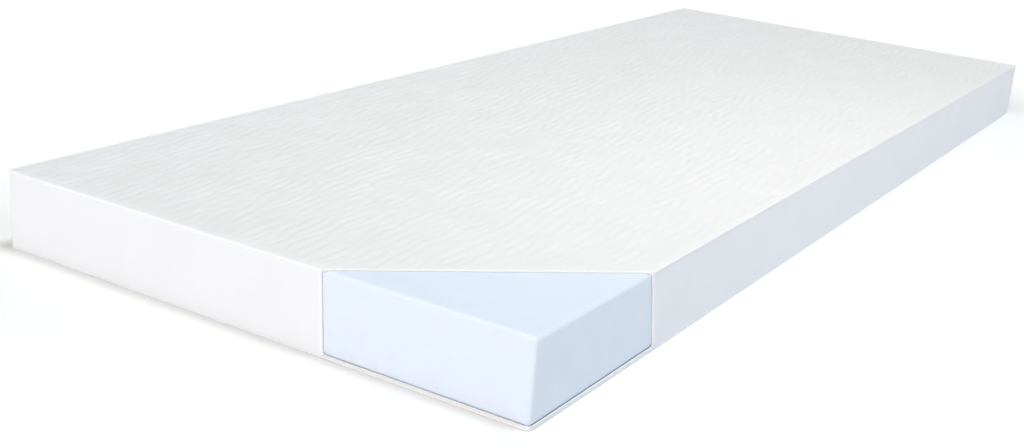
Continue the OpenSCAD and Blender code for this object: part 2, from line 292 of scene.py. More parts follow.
def slow_wave(s, z, seed):
    """Gentle unevenness of cloth over foam, about -1 to 1, for lengths along and heights up a strip."""
    rng = np.random.default_rng(seed)
    total = 0
    for wavelength, share in ((410, 0.4), (230, 0.3), (137, 0.2), (71, 0.1)):
        turn, lean = rng.uniform(0, 2 * np.pi), rng.uniform(-1.2, 1.2)
        total = total + share * np.sin(2 * np.pi * (s + lean * z) / (wavelength * MM) + turn)
    return total


# ---- Materials ----


def new_material(name, **settings):
    """A material and its Principled shader, with constants set on the shader's own sockets."""
    material = bpy.data.materials.new(name)
    material.use_nodes = True
    shader = material.node_tree.nodes["Principled BSDF"]
    for socket, value in settings.items():
        shader.inputs[socket.replace("_", " ")].default_value = value
    return material, material.node_tree, shader


def node(tree, kind, inputs=(), **properties):
    """A new shader node; each input is a socket to link from or a value to set."""
    made = tree.nodes.new(kind)
    for key, value in properties.items():
        setattr(made, key, value)
    for socket, value in dict(inputs).items():
        if isinstance(value, bpy.types.NodeSocket):
            tree.links.new(value, made.inputs[socket])
        else:
            made.inputs[socket].default_value = value
    return made


def stripes(tree, coords, period, direction, distortion):
    """A sine of the given period in metres along one UV direction."""
    wave = node(
        tree,
        "ShaderNodeTexWave",
        {"Vector": coords, "Scale": math.pi / 10 / period, "Distortion": distortion, "Detail": 1.0},
        bands_direction=direction,
    )
    return wave.outputs["Fac"]


def tinted(tree, coords, colour, scale, amount):
    """The colour with slow, faint changes of lightness."""
    patches = node(tree, "ShaderNodeTexNoise", {"Vector": coords, "Scale": scale, "Detail": 4.0})
    ramp = node(tree, "ShaderNodeValToRGB", {"Fac": patches.outputs["Fac"]})
    for element, position, level in zip(ramp.color_ramp.elements, (0.3, 0.7), (1 - amount, 1 + amount)):
        element.position = position
        element.color = [min(1.0, c * level) for c in colour] + [1]
    return ramp.outputs["Color"]


def cloth_material(name, colour, pitch, relief, roughness=0.9, distortion=0.0):
    """Woven or knitted cloth: crossed ribs at a pitch of (u, v) metres, a fuzz, and a faint mottle."""
    material, tree, shader = new_material(
        name, Roughness=roughness, Specular_IOR_Level=0.2, Sheen_Weight=0.15, Sheen_Roughness=0.5
    )
    coords = node(tree, "ShaderNodeTexCoord").outputs
    weft = stripes(tree, coords["UV"], pitch[0], "X", distortion)
    warp = stripes(tree, coords["UV"], pitch[1], "Y", distortion)
    weave = node(tree, "ShaderNodeMath", {0: weft, 1: warp}, operation="MULTIPLY").outputs[0]
    fuzz = node(tree, "ShaderNodeTexNoise", {"Vector": coords["Object"], "Scale": 900.0, "Detail": 3.0})
    height = node(tree, "ShaderNodeMath", {0: weave, 1: fuzz.outputs["Fac"]}, operation="ADD").outputs[0]
    bump = node(tree, "ShaderNodeBump", {"Height": height, "Strength": 0.6, "Distance": relief})
    tree.links.new(bump.outputs["Normal"], shader.inputs["Normal"])
    tree.links.new(tinted(tree, coords["Object"], colour, 14.0, 0.012), shader.inputs["Base Color"])
    return material


def foam_material(name, colour):
    """Open-cell foam: small pits between fine cell walls, with a few larger pores."""
    material, tree, shader = new_material(
        name, Roughness=0.95, Specular_IOR_Level=0.15, Sheen_Weight=0.1, Sheen_Roughness=0.6
    )
    coords = node(tree, "ShaderNodeTexCoord").outputs["Object"]
    cells = node(tree, "ShaderNodeTexVoronoi", {"Vector": coords, "Scale": 900.0}).outputs["Distance"]
    pores = node(tree, "ShaderNodeTexVoronoi", {"Vector": coords, "Scale": 260.0}).outputs["Distance"]
    pits = node(tree, "ShaderNodeMapRange", {"Value": pores, "From Min": 0.05, "From Max": 0.3})
    height = node(tree, "ShaderNodeMath", {0: cells, 1: pits.outputs[0]}, operation="ADD").outputs[0]
    bump = node(tree, "ShaderNodeBump", {"Height": height, "Strength": 0.5, "Distance": 0.35 * MM})
    tree.links.new(bump.outputs["Normal"], shader.inputs["Normal"])
    tree.links.new(tinted(tree, coords, colour, 30.0, 0.01), shader.inputs["Base Color"])
    return material


def metal_material(name, colour, roughness):
    """Nickel-plated zinc: fine brushing and small dull patches."""
    material, tree, shader = new_material(name, Metallic=1.0)
    coords = node(tree, "ShaderNodeTexCoord").outputs["Object"]
    stretched = node(tree, "ShaderNodeMapping", {"Vector": coords, "Scale": (900, 120, 2400)})
    brushed = node(tree, "ShaderNodeTexNoise", {"Vector": stretched.outputs[0], "Scale": 1.0, "Detail": 2.0})
    dull = node(
        tree,
        "ShaderNodeMapRange",
        {"Value": brushed.outputs["Fac"], "To Min": roughness - 0.08, "To Max": roughness + 0.1},
    )
    bump = node(
        tree, "ShaderNodeBump", {"Height": brushed.outputs["Fac"], "Strength": 0.2, "Distance": 0.05 * MM}
    )
    tree.links.new(dull.outputs[0], shader.inputs["Roughness"])
    tree.links.new(bump.outputs["Normal"], shader.inputs["Normal"])
    tree.links.new(tinted(tree, coords, colour, 400.0, 0.03), shader.inputs["Base Color"])
    return material


def nylon_material(name, colour):
    """Drawn monofilament: satin, with a slightly uneven surface."""
    material, tree, shader = new_material(name, Roughness=0.35, Specular_IOR_Level=0.5, Coat_Weight=0.1)
    coords = node(tree, "ShaderNodeTexCoord").outputs["Object"]
    drawn = node(tree, "ShaderNodeTexNoise", {"Vector": coords, "Scale": 1500.0, "Detail": 2.0})
    bump = node(
        tree, "ShaderNodeBump", {"Height": drawn.outputs["Fac"], "Strength": 0.3, "Distance": 0.04 * MM}
    )
    tree.links.new(bump.outputs["Normal"], shader.inputs["Normal"])
    tree.links.new(tinted(tree, coords, colour, 60.0, 0.02), shader.inputs["Base Color"])
    return material


KNIT = cloth_material("Knit_top", (0.83, 0.832, 0.842), (1.5 * MM, 1.1 * MM), 0.18 * MM, distortion=1.5)
BORDER_CLOTH = cloth_material("Border_jersey", (0.808, 0.832, 0.895), (0.9 * MM, 0.9 * MM), 0.05 * MM)
BASE_CLOTH = cloth_material("Base_cloth", (0.78, 0.79, 0.8), (1.2 * MM, 1.2 * MM), 0.1 * MM)
PIPING_CLOTH = cloth_material("Piping_satin", (0.84, 0.86, 0.91), (0.5 * MM, 0.7 * MM), 0.04 * MM, 0.7)
BINDING_CLOTH = cloth_material("Binding_tape", (0.85, 0.865, 0.9), (0.7 * MM, 0.5 * MM), 0.05 * MM, 0.75)
CORD_YARN = cloth_material("Cord_yarn", (0.8, 0.79, 0.76), (0.8 * MM, 0.5 * MM), 0.1 * MM)
TAPE_WEAVE = cloth_material("Zip_tape_weave", (0.81, 0.825, 0.855), (0.7 * MM, 1.3 * MM), 0.1 * MM, 0.8)
LABEL_SATIN = cloth_material("Label_satin", (0.86, 0.865, 0.88), (0.4 * MM, 0.3 * MM), 0.03 * MM, 0.5)
THREAD = cloth_material("Thread", (0.86, 0.865, 0.88), (0.4 * MM, 0.3 * MM), 0.04 * MM, 0.55)
FOAM = foam_material("Memory_foam", (0.73, 0.805, 0.935))
NYLON = nylon_material("Coil_nylon", (0.83, 0.835, 0.855))
METAL = metal_material("Nickel", (0.66, 0.66, 0.66), 0.34)


# ---- Foam core ----


def rounded_block(name, lo, hi, radius, step):
    """A box with rounded edges, as a grid that is finer near them. Its UVs are its Y and Z."""
    lo, hi = np.array(lo), np.array(hi)
    near = np.array([0, 0.25, 0.5, 0.75, 1, 1.6]) * radius / MM
    lines = [spaced(lo[a], hi[a], step, near) for a in range(3)]
    bm = bmesh.new()
    for axis in range(3):
        others = [a for a in range(3) if a != axis]
        for value in (lo[axis], hi[axis]):
            rows = []
            for p in lines[others[0]]:
                row = []
                for q in lines[others[1]]:
                    co = np.empty(3)
                    co[axis], co[others[0]], co[others[1]] = value, p, q
                    row.append(bm.verts.new(co))
                rows.append(row)
            for a, b in zip(rows, rows[1:]):
                for k in range(len(a) - 1):
                    bm.faces.new((a[k], a[k + 1], b[k + 1], b[k]))
    bmesh.ops.remove_doubles(bm, verts=bm.verts, dist=1e-7)
    bmesh.ops.recalc_face_normals(bm, faces=bm.faces)
    for vert in bm.verts:
        co = np.array(vert.co)
        inner = np.clip(co, lo + radius, hi - radius)
        away = co - inner
        distance = np.linalg.norm(away)
        vert.co = inner + away * (radius / distance)
    layer = bm.loops.layers.uv.new("UVMap")
    for face in bm.faces:
        face.smooth = True
        for loop in face.loops:
            loop[layer].uv = loop.vert.co.yz
    mesh = bpy.data.meshes.new(name)
    bm.to_mesh(mesh)
    bm.free()
    return mesh


def add_foam():
    """The block, with the faint waviness that a foam saw leaves on its faces."""
    mesh = rounded_block("Foam_core", CORE[0], CORE[1], CORE_EDGE_R, 14 * MM)
    count = len(mesh.vertices)
    co, normal = np.empty(count * 3, np.float32), np.empty(count * 3, np.float32)
    mesh.vertices.foreach_get("co", co)
    mesh.vertices.foreach_get("normal", normal)
    co, normal = co.reshape(-1, 3), normal.reshape(-1, 3)
    wave = slow_wave(co[:, 0] + co[:, 1], co[:, 2] * 2 + co[:, 0] * 0.5, 3)
    waviness = 0.12 * MM
    co -= normal * (waviness * (1 + wave))[:, None]
    mesh.vertices.foreach_set("co", co.ravel())
    piece = add_piece("Foam_core", mesh, FOAM, ["foam_core"])


# ---- Top and bottom panels ----

PANEL_INSET = 3.6 * MM
BACK_GAP = 0.1 * MM
THINNEST = 0.5 * MM
SEAM_DIP = 1.9 * MM
# Heights of the knit's ripples and of the slow swell under them.
RIPPLE, SWELL = 0.85 * MM, 0.15 * MM


def panel_grid(inset, step_x, step_y):
    """A plan grid over the mattress inside its piping, with its corners drawn in to round them."""
    half = np.array([HALF_W, HALF_L]) - inset
    x, y = np.meshgrid(
        spaced(-half[0], half[0], step_x), spaced(-half[1], half[1], step_y), indexing="ij"
    )
    grid = np.stack([x, y], axis=2)
    radius = CORNER_R - inset
    centre = half - radius
    away = np.abs(grid) - centre
    corner = (away > 0).all(axis=2)
    distance = np.linalg.norm(away[corner], axis=1)
    square = away[corner].max(axis=1)
    signs = np.sign(grid[corner])
    grid[corner] = signs * (centre + away[corner] * (square / distance)[:, None])
    return grid


def sheet_solid(name, grid, face_z, back_z, cut=None):
    """A closed sheet: a relief face over a plan grid, a flat back, and its rim.

    cut is the (point, normal) of an upright plane; what is past it is taken away.
    """
    n, m = grid.shape[:2]
    verts = np.concatenate([grid, face_z[:, :, None]], axis=2).reshape(-1, 3)
    i, j = np.meshgrid(np.arange(n - 1), np.arange(m - 1), indexing="ij")
    at = (i * m + j).ravel()
    faces = np.stack([at, at + m, at + m + 1, at + 1], axis=1)
    mesh = bpy.data.meshes.new(name)
    mesh.from_pydata(verts.tolist(), [], faces.tolist())
    bm = bmesh.new()
    bm.from_mesh(mesh)
    if cut:
        whole = bm.verts[:] + bm.edges[:] + bm.faces[:]
        bmesh.ops.bisect_plane(bm, geom=whole, plane_co=cut[0], plane_no=cut[1], clear_outer=True)
    # The rim is built face by face, because bmesh's own extrusion makes it in a new order each run.
    rim = [edge for edge in bm.edges if edge.is_boundary]
    round_it = dict.fromkeys(vert for edge in rim for vert in edge.verts)
    below = {vert: bm.verts.new((vert.co.x, vert.co.y, back_z)) for vert in round_it}
    for edge in rim:
        a, b = edge.verts
        bm.faces.new((a, b, below[b], below[a]))
    back = [bm.edges.get([below[vert] for vert in edge.verts]) for edge in rim]
    bmesh.ops.contextual_create(bm, geom=back)
    bmesh.ops.recalc_face_normals(bm, faces=bm.faces)
    layer = bm.loops.layers.uv.new("UVMap")
    for face in bm.faces:
        face.smooth = len(face.verts) <= 5
        for loop in face.loops:
            loop[layer].uv = (loop.vert.co.x + loop.vert.co.z, loop.vert.co.y + loop.vert.co.z)
    bm.to_mesh(mesh)
    bm.free()
    return mesh


def clear_of_seams(grid):
    """0 where a panel dips into the seams along its rim, 1 where it is clear of them."""
    to_rim = np.minimum(HALF_W - np.abs(grid[:, :, 0]), HALF_L - np.abs(grid[:, :, 1]))
    return smoothstep((to_rim - 3 * MM) / (9 * MM))


def add_top_panel():
    """Crinkled knit, ridged along the mattress, that dips into its seams and is calm beside the binding."""
    grid = panel_grid(PANEL_INSET, 2.8 * MM, 6.4 * MM)
    x, y = grid[:, :, 0], grid[:, :, 1]
    crinkle = banded_noise(*SIZE, (1.6 * MM, 3.2 * MM), (15 * MM, 44 * MM), 0.38, math.radians(7), SEED)
    swell = banded_noise(*SIZE, (8 * MM, 8 * MM), (90 * MM, 140 * MM), 0.5, 0.2, SEED + 1)
    # The ridges' crests are flattened, and the ridges fade towards the right-hand side.
    ridge = np.tanh(0.6 * crinkle(x, y)) / 0.6 * (1.15 - 0.55 * (x + HALF_W) / (2 * HALF_W))
    run = Vector((HALF_W - CUT_X_TOP, CUT_Y_TOP + HALF_L, 0)).normalized()
    cut = (Vector((CUT_X_TOP, -HALF_L, 0)), Vector((run.y, -run.x, 0)))
    from_cut = run.x * (y + HALF_L) - run.y * (x - CUT_X_TOP)
    clear = clear_of_seams(grid)
    calm = clear * smoothstep((from_cut - BINDING_W) / (10 * MM))
    level = TOP - 0.35 * MM - SEAM_DIP * (1 - clear) ** 2
    relief = (RIPPLE * ridge + SWELL * swell(x, y)) * calm
    face_z = np.maximum(level + relief, CORE[1].z + THINNEST)
    mesh = sheet_solid("Top_panel", grid, face_z, CORE[1].z + BACK_GAP, cut)
    piece = add_piece("Top_panel", mesh, KNIT, ["top_panel"])


def add_bottom_panel():
    """Plain base cloth, flat on what the mattress lies on; drawn face down, so its back is up."""
    grid = panel_grid(PANEL_INSET, 12 * MM, 16 * MM)
    swell = banded_noise(*SIZE, (8 * MM, 8 * MM), (60 * MM, 90 * MM), 0.5, 0.4, SEED + 2)
    relief = np.abs(swell(grid[:, :, 0], grid[:, :, 1])) * 0.08 * MM
    clear = clear_of_seams(grid)
    face_z = 0.02 * MM + relief * clear + 1.6 * MM * (1 - clear) ** 2
    mesh = sheet_solid("Bottom_panel", grid, face_z, PANEL_T - BACK_GAP)
    piece = add_piece("Bottom_panel", mesh, BASE_CLOTH, ["bottom_panel"])


# ---- Border strips ----

SEAM_TUCK = 0.9 * MM
LOW_SEAM, HIGH_SEAM = BORDER_Z0 - SEAM_TUCK, BORDER_Z1 + SEAM_TUCK
FACE_ROWS = 20
# Seeds of the left border's strips above (1) and below (-1) the zip, which the topstitching follows.
LEFT_SEEDS = {1: 14, -1: 15}


def strip_depth(lengths, z, z0, z1, seed, seams, total):
    """How deep inside the outline a border strip's outer face lies, at heights z and lengths along it.

    seams says which of its edges, at z0 and at z1, are sewn; total is the strip's length. The cloth stands
    out over the foam between its seams, and is drawn in, with small puckers, where it is sewn.
    """
    far = 1.0
    free = smoothstep(np.minimum(z - z0 if seams[0] else far, z1 - z if seams[1] else far) / (7 * MM))
    drawn = 0.35 * MM * (1 - smoothstep(np.minimum(lengths, total - lengths) / (4 * MM)))
    pucker = 0.04 * MM * np.sin(lengths / (2.1 * MM)) * np.sin(lengths / (13 * MM) + 1) * (1 - free)
    belly = 0.3 * MM * np.sin(np.pi * np.clip((z - z0) / (z1 - z0), 0, 1))
    wave = 0.12 * MM * slow_wave(lengths, z, seed) * free
    return BORDER_OUT + 0.1 * MM - belly - wave + pucker + drawn


def strip_sections(lengths, z0, z1, seed, seams):
    """Sections of a border strip at lengths along it, with a soft outer face and a plain inner one."""
    lengths = lengths[:, None]
    z0, z1 = (np.broadcast_to(np.reshape(z, (-1, 1)), lengths.shape) for z in (z0, z1))
    r = BORDER_T / 2
    share = 0.5 - 0.5 * np.cos(np.linspace(0, np.pi, FACE_ROWS))
    face = z0 + 0.6 * r + (z1 - z0 - 1.2 * r) * share
    outer = np.stack([strip_depth(lengths, face, z0, z1, seed, seams, lengths.max()), face], axis=2)
    turn = np.linspace(0, np.pi, 5)[1:-1]
    middle, back = BORDER_OUT + r, BORDER_OUT + BORDER_T
    top = np.stack([middle - r * np.cos(turn) + 0 * z1, z1 - 0.6 * r * (1 - np.sin(turn))], axis=2)
    low = np.stack([middle + r * np.cos(turn) + 0 * z0, z0 + 0.6 * r * (1 - np.sin(turn))], axis=2)
    inner = np.linspace(z1 - r, z0 + r, 3, axis=1)[:, :, 0]
    inner = np.stack([np.full_like(inner, back), inner], axis=2)
    return np.concatenate([outer, top, inner, low], axis=1)


def add_border(node_name, route, z0, z1, seed, seams=(True, True), shape=None):
    """A border strip along a route, from z0 up to z1; shape moves its points.

    z0 and z1 are heights, or functions of the lengths along it.
    """
    path = plan_path(route, 5 * MM)
    lengths = path[2][: len(path[0])]
    z0, z1 = (z(lengths) if callable(z) else z for z in (z0, z1))
    verts, faces, uvs = along_path(path, strip_sections(lengths, z0, z1, seed, seams))
    if shape:
        verts = shape(verts)
    name = node_name.capitalize()
    piece = add_piece(name, make_mesh(name, verts, faces, uvs), BORDER_CLOTH, [node_name])


def leaning(axis, top, base, far):
    """A shape for a border with a raw end: the end leans from top, at its upper edge, to base.

    top, base and far are places on an axis, and the strip stays as it is at far.
    """

    def shape(verts):
        height = np.clip((verts[:, 2] - BORDER_Z0) / (BORDER_Z1 - BORDER_Z0), 0, 1)
        share = np.clip((verts[:, axis] - far) / (top - far), 0, 1)
        moved = verts.copy()
        moved[:, axis] += (base - top) * (1 - height) * share
        return moved

    return shape


def zip_edge(lengths):
    """Half the opening between the left border's halves, at lengths along them; it closes past the zip."""
    past = np.abs(lengths - RUN[LEFT]) - ZIP_OPEN
    return 0.03 * MM + HALF_OPENING * smoothstep(0.5 - past / (10 * MM))


def add_borders():
    """The five strips. The foot and head ones turn the corners, and the side ones stop just shy of them."""
    shy = 0.05 * MM
    foot = [("turn", LEFT), ("run", FOOT, -RUN[FOOT], CUT_X_TOP)]
    right = [("run", RIGHT, CUT_Y_TOP, RUN[RIGHT] - shy)]
    head = [("turn", RIGHT), ("run", HEAD, -RUN[HEAD], RUN[HEAD]), ("turn", HEAD)]
    left = [("run", LEFT, -RUN[LEFT] + shy, RUN[LEFT] - shy)]
    add_border(
        "foot_border",
        foot,
        LOW_SEAM,
        HIGH_SEAM,
        seed=11,
        shape=leaning(0, CUT_X_TOP, CUT_X_BASE, far=-RUN[FOOT]),
    )
    add_border(
        "right_border",
        right,
        LOW_SEAM,
        HIGH_SEAM,
        seed=12,
        shape=leaning(1, CUT_Y_TOP, CUT_Y_BASE, far=RUN[RIGHT]),
    )
    add_border("head_border", head, LOW_SEAM, HIGH_SEAM, seed=13)
    add_border(
        "left_border_upper",
        left,
        lambda lengths: ZIP_Z + zip_edge(lengths),
        HIGH_SEAM,
        seed=LEFT_SEEDS[1],
        seams=(False, True),
    )
    add_border(
        "left_border_lower",
        left,
        LOW_SEAM,
        lambda lengths: ZIP_Z - zip_edge(lengths),
        seed=LEFT_SEEDS[-1],
        seams=(True, False),
    )


# ---- Piping ----

TOP_ROUTE = [
    ("run", RIGHT, CUT_Y_TOP, RUN[RIGHT]),
    ("turn", RIGHT),
    ("run", HEAD, -RUN[HEAD], RUN[HEAD]),
    ("turn", HEAD),
    ("run", LEFT, -RUN[LEFT], RUN[LEFT]),
    ("turn", LEFT),
    ("run", FOOT, -RUN[FOOT], CUT_X_TOP),
]
FULL_ROUTE = [
    step
    for side in (RIGHT, HEAD, LEFT, FOOT)
    for step in (("run", side, -RUN[side], RUN[side]), ("turn", side))
]


def round_sections(angles, radius, z):
    """Sections of piping, at a height z, whose radius may change along it and round it."""
    return np.stack([PIPING_R + radius * np.cos(angles), z + radius * np.sin(angles)], axis=2)


def add_piping(level, route, z, closed):
    """A folded tape round a laid cord. The tape's girth swells and pinches a little, as sewing leaves it."""
    path = plan_path(route, 5 * MM, closed)
    lengths = path[2][: len(path[0]), None]
    swell = 0.06 * MM * slow_wave(lengths, 0, 21) + 0.03 * MM * np.sin(lengths / (1.9 * MM))
    tape = round_sections(full_turn(14), PIPING_R - 0.09 * MM + swell, z)
    name = f"{level}_piping_tape"
    mesh = make_mesh(name, *along_path(path, tape, closed))
    add_piece(name, mesh, PIPING_CLOTH, [name.lower()])
    strands, lay = 3, 24 * MM
    angles = full_turn(12)
    twist = 2 * np.pi * lengths / lay
    cord = round_sections(angles, CORD_R * (0.9 + 0.1 * np.cos(strands * (angles + twist))), z)
    name = f"{level}_piping_cord"
    mesh = make_mesh(name, *along_path(path, cord, closed))
    add_piece(name, mesh, CORD_YARN, [name.lower()])


# ---- Binding round the cut-away ----


def unit(vector):
    return vector / np.linalg.norm(vector)


def binding_loop():
    """The raw edge right round the cut-away: points, the way the cloth faces, and the way into the cloth."""
    deep = BORDER_OUT + BORDER_T / 2
    sill = BORDER_Z0 + 0.6 * MM
    lintel = TOP - 1.2 * MM
    bend = 6 * MM
    run = unit(np.array([HALF_W - CUT_X_TOP, CUT_Y_TOP + HALF_L]))
    into_top = np.array([-run[1], run[0], 0])
    foot_y, right_x = -HALF_L + deep, HALF_W - deep
    foot_top = np.array([CUT_X_TOP, foot_y, lintel])
    right_top = np.array([right_x, CUT_Y_TOP, lintel])
    foot_base = np.array([CUT_X_BASE, foot_y, sill])
    right_base = np.array([right_x, CUT_Y_BASE, sill])
    corner = np.array([right_x, foot_y, sill])
    right, front, up = np.array([1.0, 0, 0]), np.array([0, -1.0, 0]), np.array([0, 0, 1.0])
    legs = [
        (foot_base, foot_top, front, -right),
        (foot_top, right_top, up, into_top),
        (right_top, right_base, right, -front),
        (right_base, corner, right, -up),
        (corner, foot_base, front, -up),
    ]
    points, facing, inward = [], [], []
    for (a, b, face, into), (_, c, next_face, next_into) in zip(legs, legs[1:] + legs[:1]):
        way = unit(b - a)
        count = max(2, int((np.linalg.norm(b - a) - 2 * bend) / (5 * MM)))
        for share in np.linspace(0, 1, count):
            points.append(a + way * bend + (b - a - 2 * bend * way) * share)
            facing.append(face)
            inward.append(into)
        before, after = b - way * bend, b + unit(c - b) * bend
        for s in np.linspace(0, 1, 9)[1:-1]:
            points.append((1 - s) ** 2 * before + 2 * s * (1 - s) * b + s * s * after)
            facing.append(unit((1 - s) * face + s * next_face))
            inward.append(unit((1 - s) * into + s * next_into))
    return np.array(points), np.array(facing), np.array(inward)


def add_binding():
    """A narrow tape folded over the raw edge, thicker where it climbs over the piping, lower on the sill."""
    points, facing, inward = binding_loop()
    height = points[:, 2]
    upright = np.abs(facing[:, 2]) < 0.995
    over_piping = np.exp(-(((height - (TOP - 2.6 * MM)) / (1.6 * MM)) ** 2)) * upright
    on_sill = smoothstep((BORDER_Z0 + 4 * MM - height) / (3 * MM))
    front_half = 1.0 * MM + 1.2 * MM * over_piping
    back_half = 1.35 * MM + 0.8 * MM * over_piping - 0.5 * MM * on_sill
    leg = BINDING_W - 3.2 * MM * on_sill
    across = np.linspace(-1, 1, 9)
    tape = 0.4 * MM
    fold = 0.2 * MM
    sections = []
    for front, back, length in zip(front_half, back_half, leg):
        middle, half = (front - back) / 2, (front + back) / 2
        nose = np.stack([-tape * np.sqrt(1 - across**2), middle + half * across], axis=1)
        legs = [
            (length, front),
            (length, front - tape),
            (fold, front - tape),
            (fold, tape - back),
            (length, tape - back),
            (length, -back),
        ]
        sections.append(np.concatenate([nose, legs]))
    sections = np.array(sections)
    rings = (
        points[:, None]
        + inward[:, None] * sections[:, :, :1]
        + facing[:, None] * sections[:, :, 1:]
    )
    lengths = running_length(np.concatenate([points, points[:1]]))
    mesh = make_mesh("Cutaway_binding", *loft(rings, lengths, closed=True))
    add_piece("Cutaway_binding", mesh, BINDING_CLOTH, ["cutaway_binding"])


# ---- Zip, on the left side ----

# How far each coil's heads reach past its CAD box, between the other's heads.
COIL_LAP = 0.75 * MM
FLAT_AREA = 8 * MM**2


def left_points(t, depth, z):
    """3-D points on the left side, t running from the head to the foot."""
    t, depth, z = np.broadcast_arrays(t, depth, z)
    return np.stack([-HALF_W + depth, -t, z], axis=-1)


def softened(name, node_name, bevel):
    """A copy of a CAD node's mesh with its triangles merged into faces and its sharp edges rounded.

    Faces larger than FLAT_AREA are the part's flats and are shaded flat. Only its rounded parts are smooth.
    """
    bm = bmesh.new()
    bm.from_mesh(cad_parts[node_name].data)
    bmesh.ops.remove_doubles(bm, verts=bm.verts, dist=1e-6)
    bmesh.ops.dissolve_limit(bm, angle_limit=math.radians(1), verts=bm.verts, edges=bm.edges)
    sharp = [e for e in bm.edges if len(e.link_faces) == 2 and e.calc_face_angle() > math.radians(35)]
    bmesh.ops.bevel(
        bm, geom=sharp, offset=bevel, segments=2, profile=0.5, affect="EDGES", clamp_overlap=True
    )
    bmesh.ops.recalc_face_normals(bm, faces=bm.faces)
    mesh = bpy.data.meshes.new(name)
    bm.to_mesh(mesh)
    bm.free()
    mesh.set_sharp_from_angle(angle=math.radians(40))
    for face in mesh.polygons:
        face.use_smooth = face.area < FLAT_AREA
    return mesh


def add_zip_tape(level, box):
    """One woven tape, flat behind the border's folded edge."""
    lo, hi = box
    front, back = HALF_W + lo.x, HALF_W + hi.x
    inner, outer = (lo.z, hi.z) if lo.z > ZIP_Z else (hi.z, lo.z)
    section = np.array([(front, outer), (front, inner), (back, inner), (back, outer)])
    path = plan_path([("run", LEFT, -hi.y, -lo.y)], 10 * MM)
    name = f"Zip_tape_{level}"
    mesh = make_mesh(name, *along_path(path, section))
    piece = add_piece(name, mesh, TAPE_WEAVE, [name.lower()])


def add_coil(level, box):
    """A nylon monofilament wound into flattened loops. The coils are half a pitch apart, so they mesh."""
    lo, hi = box
    wire = 0.3 * MM
    pitch = 2 * MM
    up = 1 if level == "upper" else -1
    turns = int((hi.y - lo.y - 2 * wire) / pitch - 0.5)
    angle = np.linspace(0, 2 * np.pi * turns, turns * 10)
    flattened = 0.75
    swing = np.sign(np.cos(angle)) * np.abs(np.cos(angle)) ** flattened
    t = -hi.y + wire + pitch * (angle / (2 * np.pi) + (0.5 if up > 0 else 0))
    back, head = (hi.z, lo.z) if up > 0 else (lo.z, hi.z)
    head -= up * COIL_LAP
    middle_depth = HALF_W + (lo.x + hi.x) / 2
    points = left_points(
        t,
        middle_depth + ((hi.x - lo.x) / 2 - wire) * np.sin(angle),
        (back + head) / 2 + (abs(back - head) / 2 - wire) * swing,
    )
    name = f"Zip_coil_{level}"
    mesh = make_mesh(name, *tube(points, wire, 5, (0, 1, 0)))
    add_piece(name, mesh, NYLON, [name.lower()])


def add_end_tab(end):
    """A cloth tab over one end of the zip, sewn round its edge."""
    name = f"Zip_end_tab_{end}"
    lo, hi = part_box(name.lower())
    mesh = rounded_block(name, lo, hi, 0.3 * MM, 2 * MM)
    for vert in mesh.vertices:
        across = math.cos(math.pi * (vert.co.z - ZIP_Z) / (hi.z - lo.z))
        along = math.cos(math.pi * (vert.co.y - (lo.y + hi.y) / 2) / (hi.y - lo.y))
        vert.co.x -= 0.35 * MM * across * along
    piece = add_piece(name, mesh, TAPE_WEAVE, [name.lower()])
    shy = 2 * MM
    y0, y1, z0, z1 = lo.y + shy, hi.y - shy, lo.z + shy, hi.z - shy
    seam = [(lo.x - 0.02 * MM, y, z) for y, z in ((y0, z0), (y1, z0), (y1, z1), (y0, z1), (y0, z0))]
    return stitch_line(seam, [(-1, 0, 0)] * len(seam), pitch=2.4 * MM, radius=0.2 * MM)


def topstitch(up):
    """The row of stitches that holds a left border's folded edge to its zip tape; up is 1 or -1."""
    t = np.arange(-ZIP_OPEN, ZIP_OPEN, 4 * MM)
    lengths = t + RUN[LEFT]
    opening = zip_edge(lengths)
    z = ZIP_Z + up * (opening + 3.2 * MM)
    edge = ZIP_Z + up * opening
    z0, z1, seams = (edge, HIGH_SEAM, (False, True)) if up > 0 else (LOW_SEAM, edge, (True, False))
    depth = strip_depth(lengths, z, z0, z1, LEFT_SEEDS[up], seams, 2 * RUN[LEFT])
    outward = [(-1, 0, 0)] * len(t)
    return stitch_line(left_points(t, depth, z), outward, pitch=3.6 * MM, radius=0.28 * MM)


def add_zip():
    for level, box in zip(("lower", "upper"), COIL):
        add_zip_tape(level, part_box(f"zip_tape_{level}"))
        add_coil(level, box)
    sewn = [add_end_tab("head"), add_end_tab("foot"), topstitch(1), topstitch(-1)]
    add_piece("Zip_stitching", make_mesh("Zip_stitching", *join_parts(sewn)), THREAD)
    for name in ("zip_top_stops", "zip_bottom_stop"):
        mesh = softened(name.capitalize(), name, 0.35 * MM)
        add_piece(name.capitalize(), mesh, METAL, [name])
    slider = softened("Zip_slider", "zip_slider", 0.3 * MM)
    add_piece("Zip_slider", slider, METAL, ["zip_slider"], body="slider")
    pull = softened("Zip_pull_tab", "zip_pull_tab", 0.3 * MM)
    add_piece("Zip_pull_tab", pull, METAL, ["zip_pull_tab"], body="pull_tab")


# ---- Care label, blank, sewn along its top edge to the head border ----


